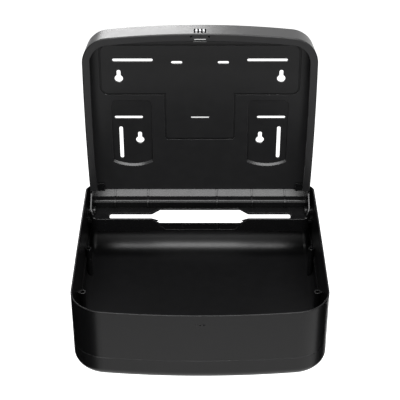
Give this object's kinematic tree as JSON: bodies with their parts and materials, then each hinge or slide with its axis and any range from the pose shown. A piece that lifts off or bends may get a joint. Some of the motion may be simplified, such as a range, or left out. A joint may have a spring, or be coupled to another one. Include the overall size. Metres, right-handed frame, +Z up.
{
  "type": "paper towel dispenser",
  "caption": "Wall-mounted folded paper towel dispenser: shallow back frame with hanging holes, slotted towel chute, deep box cover that swings down and open, and a sprung lever latch.",
  "frame": {"origin": "on the wall plane and the centre line, 1.8 mm above the line of the upper hanging screws", "axes": "+Z up, +Y into the wall, the front of the dispenser faces -Y, +X to the right as seen from the front"},
  "size_m": [0.313, 0.307, 0.3344],
  "materials": {
    "black_plastic": "fine satin grain",
    "hinge_plastic": "turned, smooth",
    "steel": "zinc plated",
    "lever_metal": "bright plated"
  },
  "bodies": {
    "wall_unit": {"back_frame": "black_plastic", "towel_chute": "black_plastic", "chute_screws": "steel", "hinge_pin_left": "hinge_plastic", "hinge_pin_right": "hinge_plastic", "latch_housing": "black_plastic", "latch_screws": "steel", "lever_pin": "steel", "lever_spring_left": "steel", "lever_spring_centre": "steel", "lever_spring_right": "steel"},
    "cover": {"cover_band": "black_plastic", "front_panel": "black_plastic", "panel_screws": "steel", "latch_keeper": "black_plastic", "hinge_bush_left": "hinge_plastic", "hinge_bush_right": "hinge_plastic"},
    "lever_left": {"latch_lever_left": "lever_metal"},
    "lever_centre": {"latch_lever_centre": "lever_metal"},
    "lever_right": {"latch_lever_right": "lever_metal"}
  },
  "joints": [
    {"name": "cover_hinge", "type": "hinge", "parent": "wall_unit", "child": "cover", "pos_m": [0, -0.038, -0.1995], "axis": [-1, 0, 0], "range_deg": [0, 90]},
    {"name": "lever_left_pivot", "type": "hinge", "parent": "wall_unit", "child": "lever_left", "pos_m": [-0.00465, -0.029, 0.0606], "axis": [-1, 0, 0], "range_deg": [0, 12], "stiffness_Nm_per_rad": 0.02, "springref_deg": -17.19, "deforming": ["lever_spring_left"]},
    {"name": "lever_centre_pivot", "type": "hinge", "parent": "wall_unit", "child": "lever_centre", "pos_m": [0, -0.029, 0.0606], "axis": [-1, 0, 0], "range_deg": [0, 12], "stiffness_Nm_per_rad": 0.02, "springref_deg": -17.19, "deforming": ["lever_spring_centre"]},
    {"name": "lever_right_pivot", "type": "hinge", "parent": "wall_unit", "child": "lever_right", "pos_m": [0.00465, -0.029, 0.0606], "axis": [-1, 0, 0], "range_deg": [0, 12], "stiffness_Nm_per_rad": 0.02, "springref_deg": -17.19, "deforming": ["lever_spring_right"]}
  ]
}
